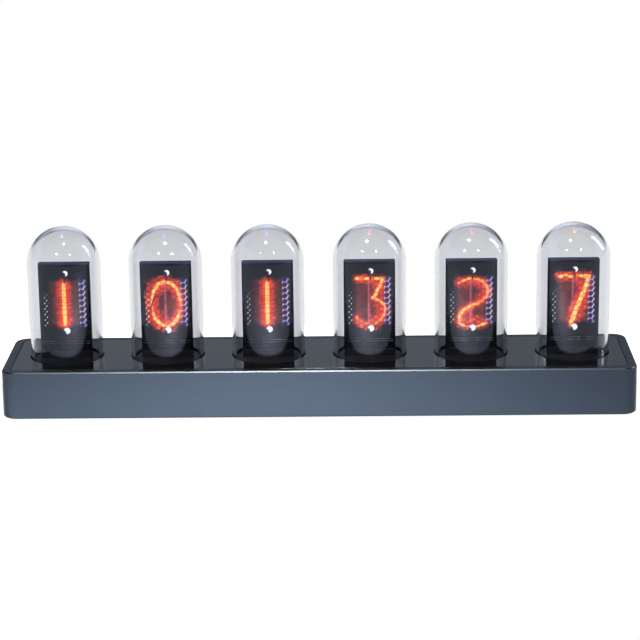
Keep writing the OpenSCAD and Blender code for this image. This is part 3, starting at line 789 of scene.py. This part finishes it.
def dome_mesh(low, high, wall):
    """A dome between two corners: its section runs down the outside, round the rim and up the inside."""
    axis = Vector(((low.x + high.x) / 2, (low.y + high.y) / 2, 0))
    radius = (high.x - low.x) / 2
    spring = high.z - radius
    rim = wall / 2
    # Rows of faces down the straight walls keep the shading upright right down to the rim
    heights = np.linspace(spring, low.z + rim, DOME_ROWS)[1:-1]
    section = np.vstack([
        arc((0, spring), (radius, radius), 90, 0),
        np.column_stack([np.full_like(heights, radius), heights]),
        arc((radius - rim, low.z + rim), (rim, rim), 0, -180),
        np.column_stack([np.full_like(heights, radius - wall), heights[::-1]]),
        arc((0, spring), (radius - wall, radius - wall), 0, 90),
    ])
    section[[0, -1], 0] = 0
    shape = bmesh.new()
    line = [shape.verts.new(axis + Vector((x, 0, z))) for x, z in section]
    edges = [shape.edges.new(pair) for pair in zip(line, line[1:])]
    bmesh.ops.spin(
        shape, geom=line + edges, cent=axis, axis=(0, 0, 1), angle=math.tau, steps=DOME_STEPS, use_merge=True
    )
    bmesh.ops.remove_doubles(shape, verts=shape.verts, dist=WELD)
    bmesh.ops.recalc_face_normals(shape, faces=shape.faces)
    return mesh_of(shape, "blown_dome")


# The studio: a white floor in a dim room, with sheets of light, lamps and a camera, in metres

BLACK, WHITE = "#000000", "#ffffff"
FLOOR_RADIUS, FLOOR_STEPS = 4, 64
# A painted pool of light before the clock: its middle, its reach and how much brighter the floor is there
PATCH_AT, PATCH_REACH, PATCH_GAIN = (-0.01, -0.105, 0), (0.16, 0.075, 1), 2.8
# Sheets of light: name, brightness, middle, size, the way across which each fades, the stops of that fade,
# and the pieces that it lights
SHEETS = (
    ("front_pool", "pool_glow", (-0.025, -0.061, 0.2 * MM), (0.4, 0.076, 0),
     "Y", ((0.0, BLACK), (0.4, WHITE)), ["case_frame_rounded"]),
    ("back_pool", "back_glow", (0, 0.061, 0.2 * MM), (0.4, 0.076, 0),
     "Y", ((0.6, WHITE), (1.0, BLACK)),
     ["case_frame_rounded", "usb_shell_rounded", *(f"{name}_button_rounded" for name in BUTTONS)]),
    ("white_card", "card_glow", (0, 3, 1.3), (3.8, 0, 1.7),
     "Z", ((0.0, BLACK), (0.2, WHITE)), [f"blown_dome_{i}" for i in TUBES]),
)
SHEET_SIDES = ((0.04, BLACK), (0.5, WHITE), (0.96, BLACK))
# Tones of the room from the floor up, and of the wall behind, a little darker to the right
ROOM_TONES = (
    (0.0, "#e6eaf0"), (0.12, "#d8dde4"), (0.2, "#bcc5d2"),
    (0.5, "#b2bccb"), (0.62, "#44474c"), (1.0, "#3c4046"),
)
WALL_TONES = ((0.03, WHITE), (0.15, "#dedede"))
# Two dark cards stand low at the back, left and right, and draw the domes' shoulders
DARK_CARD_ASIDE = ((0.17, BLACK), (0.23, WHITE), (0.52, WHITE), (0.6, BLACK))
DARK_CARD_UP = ((0.15, WHITE), (0.2, BLACK))
DARK_CARD_BEHIND = ((0.0, BLACK), (0.05, WHITE))
DARK_CARD_TONE = 0.12
# Lamps: name, tint, place, width and height, and power
LAMPS = (
    ("overhead_lamp", "#ffefda", (-0.03, -0.17, 0.62), (0.06, 0.06), 5.0),
    ("front_lamp_left", WHITE, (-0.33, -0.7, 0.65), (0.1, 0.08), 1.5),
    ("front_lamp_right", WHITE, (0.37, -0.7, 0.65), (0.1, 0.08), 1.5),
    ("side_strip", WHITE, (0.73, 0.25, 0.41), (0.06, 0.5), 2.2),
)
LAMPS_AIM = Vector((0, 0, 0.03))
SENSOR_WIDTH = 36


def shining(name, clear):
    """A new material that shines, with its emission node; a clear one also shows what is under it."""
    material = bpy.data.materials.new(name)
    material.use_nodes = True
    tree = material.node_tree
    tree.nodes.clear()
    light = add_node(tree, "ShaderNodeEmission")
    shader = light
    if clear:
        under = add_node(tree, "ShaderNodeBsdfTransparent")
        shader = add_node(tree, "ShaderNodeAddShader", {}, {0: light.outputs[0], 1: under.outputs[0]})
    add_node(tree, "ShaderNodeOutputMaterial", {}, {"Surface": shader.outputs[0]})
    return material, tree, light


def lay_floor(studio):
    """A wide white floor that glows, with a painted pool of light in its glow before the clock."""
    material, tree, light = shining("lit_white_floor", clear=False)
    place = add_node(tree, "ShaderNodeTexCoord").outputs["Object"]
    patch_place = add_node(
        tree, "ShaderNodeMapping", {"vector_type": "TEXTURE", "Location": PATCH_AT, "Scale": PATCH_REACH},
        {"Vector": place},
    )
    patch = add_node(
        tree, "ShaderNodeTexGradient", {"gradient_type": "QUADRATIC_SPHERE"}, {0: patch_place.outputs[0]}
    )
    # The floor's glow rises inside the patch: a painted pool of light
    strength = add_node(
        tree, "ShaderNodeMapRange", {"To Min": studio.floor_glow, "To Max": studio.floor_glow * PATCH_GAIN},
        {"Value": patch.outputs["Fac"]},
    )
    tree.links.new(strength.outputs["Result"], light.inputs["Strength"])
    shape = bmesh.new()
    bmesh.ops.create_circle(shape, cap_ends=True, segments=FLOOR_STEPS, radius=FLOOR_RADIUS)
    add_piece("floor", mesh_of(shape, "floor"), material)


def add_sheet(name, strength, middle, size, way, stops, pieces):
    """A soft-edged sheet of light that shines only on some pieces: it lies on the floor or stands behind."""
    material, tree, light = shining(name, clear=True)
    place = add_node(tree, "ShaderNodeTexCoord").outputs["Object"]
    corner = Vector(middle) - Vector(size) / 2
    share = add_node(
        tree, "ShaderNodeMapping",
        {"vector_type": "TEXTURE", "Location": corner, "Scale": [side or 1 for side in size]},
        {"Vector": place},
    )
    ways = add_node(tree, "ShaderNodeSeparateXYZ", {}, {0: share.outputs[0]})
    sides = add_node(
        tree, "ShaderNodeValToRGB", {"stops": SHEET_SIDES, "blend": "EASE"}, {"Fac": ways.outputs["X"]}
    )
    across = add_node(tree, "ShaderNodeValToRGB", {"stops": stops}, {"Fac": ways.outputs[way]})
    fade = add_node(
        tree, "ShaderNodeMath", {"operation": "MULTIPLY"},
        {0: sides.outputs["Color"], 1: across.outputs["Color"]},
    )
    glow = add_node(tree, "ShaderNodeMath", {"operation": "MULTIPLY", 1: strength}, {0: fade.outputs[0]})
    tree.links.new(glow.outputs[0], light.inputs["Strength"])
    width, depth, height = size
    lay = Matrix.Diagonal((width, depth or height, 1, 1))
    if height:
        lay = Matrix.Rotation(math.radians(90), 4, "X") @ lay
    shape = bmesh.new()
    bmesh.ops.create_grid(shape, size=0.5, matrix=Matrix.Translation(middle) @ lay)
    sheet = add_piece(name, mesh_of(shape, name), material)
    # The camera doesn't see a standing sheet
    sheet.visible_camera = not height
    lit = bpy.data.collections.new(f"lit_by_{name}")
    for piece in pieces:
        lit.objects.link(bpy.data.objects[piece])
    sheet.light_linking.receiver_collection = lit


def light_room(scene):
    """A dim room, paler near the floor, with soft lamps over, before and beside the clock."""
    scene.world = bpy.data.worlds.new("studio")
    scene.world.use_nodes = True
    tree = scene.world.node_tree
    room = tree.nodes["Background"]
    place = add_node(tree, "ShaderNodeTexCoord").outputs["Generated"]
    ray = add_node(tree, "ShaderNodeSeparateXYZ", {}, {0: place})
    aside = add_node(tree, "ShaderNodeMath", {"operation": "ABSOLUTE"}, {0: ray.outputs["X"]})
    height, right, beside, low, behind = (
        add_node(tree, "ShaderNodeValToRGB", {"stops": stops}, {"Fac": value}).outputs["Color"]
        for value, stops in (
            (ray.outputs["Z"], ROOM_TONES),
            (ray.outputs["X"], WALL_TONES),
            (aside.outputs[0], DARK_CARD_ASIDE),
            (ray.outputs["Z"], DARK_CARD_UP),
            (ray.outputs["Y"], DARK_CARD_BEHIND),
        )
    )
    wall = add_node(
        tree, "ShaderNodeMix", {"data_type": "RGBA", "blend_type": "MULTIPLY", 0: 1.0}, {6: height, 7: right}
    )
    tree.links.new(wall.outputs[2], room.inputs["Color"])
    low_card = add_node(tree, "ShaderNodeMath", {"operation": "MULTIPLY"}, {0: beside, 1: low})
    card = add_node(tree, "ShaderNodeMath", {"operation": "MULTIPLY"}, {0: low_card.outputs[0], 1: behind})
    shade = add_node(
        tree, "ShaderNodeMapRange", {"To Min": 1.0, "To Max": DARK_CARD_TONE}, {"Value": card.outputs[0]}
    )
    tree.links.new(shade.outputs["Result"], room.inputs["Strength"])
    for name, tint, stand, size, power in LAMPS:
        lamp = bpy.data.lights.new(name, "AREA")
        lamp.color = linear(tint)[:3]
        lamp.shape = "RECTANGLE"
        lamp.size, lamp.size_y = size
        lamp.energy = power
        holder = bpy.data.objects.new(name, lamp)
        holder.location = stand
        holder.rotation_euler = (LAMPS_AIM - Vector(stand)).to_track_quat("-Z", "Y").to_euler()
        scene.collection.objects.link(holder)


def set_camera(scene, studio):
    """The camera, from its place, its three turns and its lens."""
    lens = bpy.data.cameras.new("camera")
    lens.sensor_width = SENSOR_WIDTH
    lens.lens = studio.focal
    ahead = Vector((
        math.sin(studio.yaw) * math.cos(studio.pitch),
        math.cos(studio.yaw) * math.cos(studio.pitch),
        -math.sin(studio.pitch),
    ))
    level = Vector((math.cos(studio.yaw), -math.sin(studio.yaw), 0))
    over = level.cross(ahead)
    right = math.cos(studio.roll) * level + math.sin(studio.roll) * over
    up = math.cos(studio.roll) * over - math.sin(studio.roll) * level
    turn = Matrix((right, up, -ahead)).transposed().to_4x4()
    camera = bpy.data.objects.new("camera", lens)
    camera.matrix_world = Matrix.Translation(studio.camera_at) @ turn
    scene.collection.objects.link(camera)
    scene.camera = camera


# Operators, one for each piece or group of like pieces

# The film's two cut edges on a screen, and the depth of a tray's lip
FILM_STEP, FILM_INSET = 0.8 * MM, 1.2 * MM
FILM_DEPTH, FILM_LINE = 0.08 * MM, 0.06 * MM
LIP_DEPTH = 0.2 * MM
# Small parts on the back of a carrier board, in millimetres: name, kind, material, whose slot they share,
# first x and height, count, step and size
CARRIER_PARTS = (
    ("carrier_pin_joints", "bead_rows", "tin_solder", "board_screws",
     (-7, 3), 8, (2, 0, 0), (1.3, 0.9, 1.3)),
    ("carrier_ribbon_joints", "bead_rows", "tin_solder", "board_screws",
     (-5.5, 26), 12, (1, 0, 0), (0.6, 0.3, 1.8)),
    ("carrier_driver_chips", "block_rows", "moulded_abs", "logic_chips",
     (0, 14), 1, (0, 0, 0), (4, 0.9, 4)),
    ("carrier_resistors", "block_rows", "moulded_abs", "logic_chips",
     (-5, 8), 5, (0, 0, 2.6), (1.6, 0.5, 0.8)),
    ("carrier_capacitors", "block_rows", "fired_ceramic", "logic_chips",
     (5, 9), 4, (0, 0, 3), (2, 0.8, 1.2)),
)
# Contacts above and below the power inlet's tongue
CONTACTS, CONTACT_STEP = 12, 0.5 * MM
CONTACT_SIZE = (0.25 * MM, 2.4 * MM, 0.05 * MM)
CONTACT_INSET, CONTACT_RISE = 1.6 * MM, 0.35 * MM


class CLOCK_OT_finish_case(bpy.types.Operator):
    """Finish the case, its top plate, its cover and what holds them"""

    bl_idname = "clock.finish_case"
    bl_label = "Finish the case"

    def execute(self, context):
        sizes = context.scene.clock_sizes
        colours = context.scene.clock_colours
        rounded("case_frame", sizes.case_edge, anodised_aluminium())
        rounded("top_panel", sizes.plate_edge, polished_acrylic())
        plastic = moulded_plastic("moulded_abs", colours.moulded)
        rounded("bottom_cover", sizes.moulded_edge, plastic)
        for i in TUBES:
            rounded(f"dome_socket_{i}", sizes.moulded_edge, plastic)
        rubber = silicone_rubber()
        rounded("rubber_feet", sizes.button_edge, rubber)
        paint(["panel_tape", "dome_gaskets"], rubber)
        rounded("cover_screws", sizes.fine_edge, plain_metal("blackened_steel", "#2c2e32", 0.28, 0.45))
        return {"FINISHED"}


class CLOCK_OT_finish_boards(bpy.types.Operator):
    """Finish the boards inside the case and the parts on them"""

    bl_idname = "clock.finish_boards"
    bl_label = "Finish the boards"

    def execute(self, context):
        plastic = bpy.data.materials["moulded_abs"]
        paint(["main_board", "wireless_board"], solder_mask())
        paint(["screen_connectors", "coin_cell_holder", "logic_chips", "voltage_regulator"], plastic)
        nickel = plain_metal("nickel_plated_steel", "#c4c2bb", 0.18, 0.34)
        paint(["board_screws", "wireless_shield", "coin_cell"], nickel)
        paint(["capacitors"], plain_metal("drawn_aluminium", "#b4b7bb", 0.25, 0.4))
        paint(["tube_lights"], lamp_resin())
        return {"FINISHED"}


class CLOCK_OT_make_screens(bpy.types.Operator):
    """Make the upright screens with their trays and carrier boards"""

    bl_idname = "clock.make_screens"
    bl_label = "Make the screens"

    def execute(self, context):
        sizes = context.scene.clock_sizes
        cover = screen_glass()
        tray = tray_plastic()
        mask = bpy.data.materials["solder_mask_on_board"]
        for i in TUBES:
            rounded(f"screen_glass_{i}", sizes.screen_edge, cover)
            rounded(f"screen_tray_{i}", sizes.moulded_edge, tray)
            rounded(f"screen_carrier_{i}", sizes.fine_edge, mask)
        low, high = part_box("screen_glass_1")
        middle, width = (low.x + high.x) / 2, high.x - low.x
        pitch = Vector((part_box("screen_glass_2")[0].x - low.x, 0, 0))
        lay_row(
            "screen_film_edges", "block_rows", film_edge_painted_glints(), SLOT_OF["screen_glass_1"], Rows=len(TUBES),
            Pitch=pitch, First=Vector((middle, low.y, high.z - sizes.film_h)), Count=2,
            Step=(0, 0, -FILM_STEP), Size=(width - FILM_INSET, FILM_DEPTH, FILM_LINE),
        )
        lay_row(
            "screen_top_lips", "block_rows", tray, SLOT_OF["screen_tray_1"], Rows=len(TUBES),
            Pitch=pitch, First=Vector((middle, low.y, high.z - sizes.lip_h / 2)), Count=1,
            Step=(0, 0, 0), Size=(width, LIP_DEPTH, sizes.lip_h),
        )
        return {"FINISHED"}


class CLOCK_OT_light_pictures(bpy.types.Operator):
    """Light the numerals on the screens"""

    bl_idname = "clock.light_pictures"
    bl_label = "Light the numerals"

    def execute(self, context):
        sizes = context.scene.clock_sizes
        if len(sizes.numerals) != len(TUBES) or set(sizes.numerals) - set(STROKES):
            raise ValueError(f"the screens can't show {sizes.numerals!r}")
        pixels = lit_pixels()
        columns, rows = round(sizes.picture_w / sizes.pixel), round(sizes.picture_h / sizes.pixel)
        flat = Matrix.Diagonal((sizes.picture_w, sizes.picture_h, 1, 1))
        upright = Matrix.Rotation(math.radians(90), 4, "X") @ flat
        for i, digit in zip(TUBES, sizes.numerals):
            low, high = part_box(f"screen_glass_{i}")
            middle = Vector(((low.x + high.x) / 2, low.y - sizes.picture_lift, high.z - sizes.picture_drop))
            shape = bmesh.new()
            lay = Matrix.Translation(middle) @ upright
            bmesh.ops.create_grid(shape, x_segments=columns, y_segments=rows, size=0.5, matrix=lay)
            mesh = mesh_of(shape, f"lit_picture_{i}")
            points = np.empty(3 * len(mesh.vertices), np.float32)
            mesh.vertices.foreach_get("co", points)
            x, _, z = ((points.reshape(-1, 3) - middle) / MM).T
            shown = np.ones((len(x), 4), np.float32)
            shown[:, :3] = picture_of(digit, x, z)
            picture = mesh.color_attributes.new("picture", "FLOAT_COLOR", "POINT")
            picture.data.foreach_set("color", shown.ravel())
            piece = add_piece(f"lit_picture_{i}", mesh, pixels)
            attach(piece, BODY_OF[f"screen_glass_{i}"])
        return {"FINISHED"}


class CLOCK_OT_fit_carrier_parts(bpy.types.Operator):
    """Fit the solder joints and small parts on the backs of the screens' carrier boards"""

    bl_idname = "clock.fit_carrier_parts"
    bl_label = "Fit the carrier parts"

    def execute(self, context):
        low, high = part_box("screen_carrier_1")
        middle, floor = (low.x + high.x) / 2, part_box("dome_socket_1")[1].z
        pitch = Vector((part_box("screen_carrier_2")[0].x - low.x, 0, 0))
        plain_metal("tin_solder", "#c9cacd", 0.15, 0.3)
        # Fired ceramic has the mouldings' soft sheen, in its own tan
        moulded_plastic("fired_ceramic", linear("#9a7f5c"))
        for name, kind, material, slot_of, (x, z), count, step, size in CARRIER_PARTS:
            # A bead of solder lies half in the board, and a block stands on it
            lift = size[1] / 2 if kind == "block_rows" else 0
            lay_row(
                name, kind, bpy.data.materials[material], SLOT_OF[slot_of], Rows=len(TUBES), Pitch=pitch,
                First=Vector((middle + x * MM, high.y + lift * MM, floor + z * MM)), Count=count,
                Step=[side * MM for side in step], Size=[side * MM for side in size],
            )
        return {"FINISHED"}


class CLOCK_OT_make_domes(bpy.types.Operator):
    """Make the glass domes with their round tops and fire-polished rims"""

    bl_idname = "clock.make_domes"
    bl_label = "Make the domes"

    def execute(self, context):
        glass = drawn_glass()
        wall = context.scene.clock_sizes.dome_wall
        for i in TUBES:
            node = f"glass_dome_{i}"
            piece = add_piece(f"blown_dome_{i}", dome_mesh(*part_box(node), wall), glass)
            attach(piece, BODY_OF[node])
            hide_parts(node)
        return {"FINISHED"}


class CLOCK_OT_finish_back(bpy.types.Operator):
    """Finish the buttons, their switches and the power inlet in the back"""

    bl_idname = "clock.finish_back"
    bl_label = "Finish the back"

    def execute(self, context):
        sizes = context.scene.clock_sizes
        caps = button_plastic()
        for name in BUTTONS:
            rounded(f"{name}_button", sizes.button_edge, caps)
        plastic = bpy.data.materials["moulded_abs"]
        cream = moulded_plastic("moulded_cream_abs", linear("#d8d2c2"))
        paint([f"{name}_plunger" for name in BUTTONS], cream)
        paint(["switch_bodies", "usb_tongue"], plastic)
        rounded("usb_shell", sizes.fine_edge, bpy.data.materials["nickel_plated_steel"])
        low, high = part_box("usb_tongue")
        level = (low.z + high.z) / 2
        first = (-CONTACT_STEP * (CONTACTS - 1) / 2, high.y - CONTACT_INSET, level + CONTACT_RISE)
        lay_row(
            "inlet_contacts", "block_rows", plain_metal("gold_plate", "#d9b25a", 0.15, 0.28),
            SLOT_OF["usb_shell"], Rows=2, Pitch=Vector((0, 0, -2 * CONTACT_RISE)), First=Vector(first),
            Count=CONTACTS, Step=(CONTACT_STEP, 0, 0), Size=CONTACT_SIZE,
        )
        return {"FINISHED"}


class CLOCK_OT_set_stage(bpy.types.Operator):
    """Set the floor, the sheets of light, the room and the camera"""

    bl_idname = "clock.set_stage"
    bl_label = "Set the stage"

    def execute(self, context):
        studio = context.scene.clock_studio
        lay_floor(studio)
        for name, brightness, *lay in SHEETS:
            add_sheet(name, getattr(studio, brightness), *lay)
        light_room(context.scene)
        set_camera(context.scene, studio)
        context.scene.view_settings.view_transform = "Standard"
        context.scene.view_settings.gamma = studio.contrast
        return {"FINISHED"}


class CLOCK_PT_panel(bpy.types.Panel):
    """Lists the clock's operators, colours, sizes and studio settings"""

    bl_idname = "CLOCK_PT_panel"
    bl_label = "Screen clock"
    bl_space_type = "VIEW_3D"
    bl_region_type = "UI"
    bl_category = "Clock"

    def draw(self, context):
        for operator in OPERATORS:
            self.layout.operator(operator.bl_idname)
        for group in (context.scene.clock_colours, context.scene.clock_sizes, context.scene.clock_studio):
            for name in group.__annotations__:
                self.layout.prop(group, name)


OPERATORS = (
    CLOCK_OT_finish_case,
    CLOCK_OT_finish_boards,
    CLOCK_OT_make_screens,
    CLOCK_OT_light_pictures,
    CLOCK_OT_fit_carrier_parts,
    CLOCK_OT_make_domes,
    CLOCK_OT_finish_back,
    CLOCK_OT_set_stage,
)
GROUPS = {"clock_colours": ClockColours, "clock_sizes": ClockSizes, "clock_studio": ClockStudio}


def register():
    """Makes the clock's properties, operators and panel known to Blender."""
    for kind in (*GROUPS.values(), *OPERATORS, CLOCK_PT_panel):
        bpy.utils.register_class(kind)
    for name, group in GROUPS.items():
        setattr(bpy.types.Scene, name, bpy.props.PointerProperty(type=group))


def unregister():
    """Takes them out again."""
    for name in GROUPS:
        delattr(bpy.types.Scene, name)
    for kind in (CLOCK_PT_panel, *OPERATORS, *GROUPS.values()):
        bpy.utils.unregister_class(kind)


def main():
    """Runs the operators in order."""
    register()
    for operator in OPERATORS:
        group, name = operator.bl_idname.split(".")
        getattr(getattr(bpy.ops, group), name)()


if __name__ == "__main__":
    main()
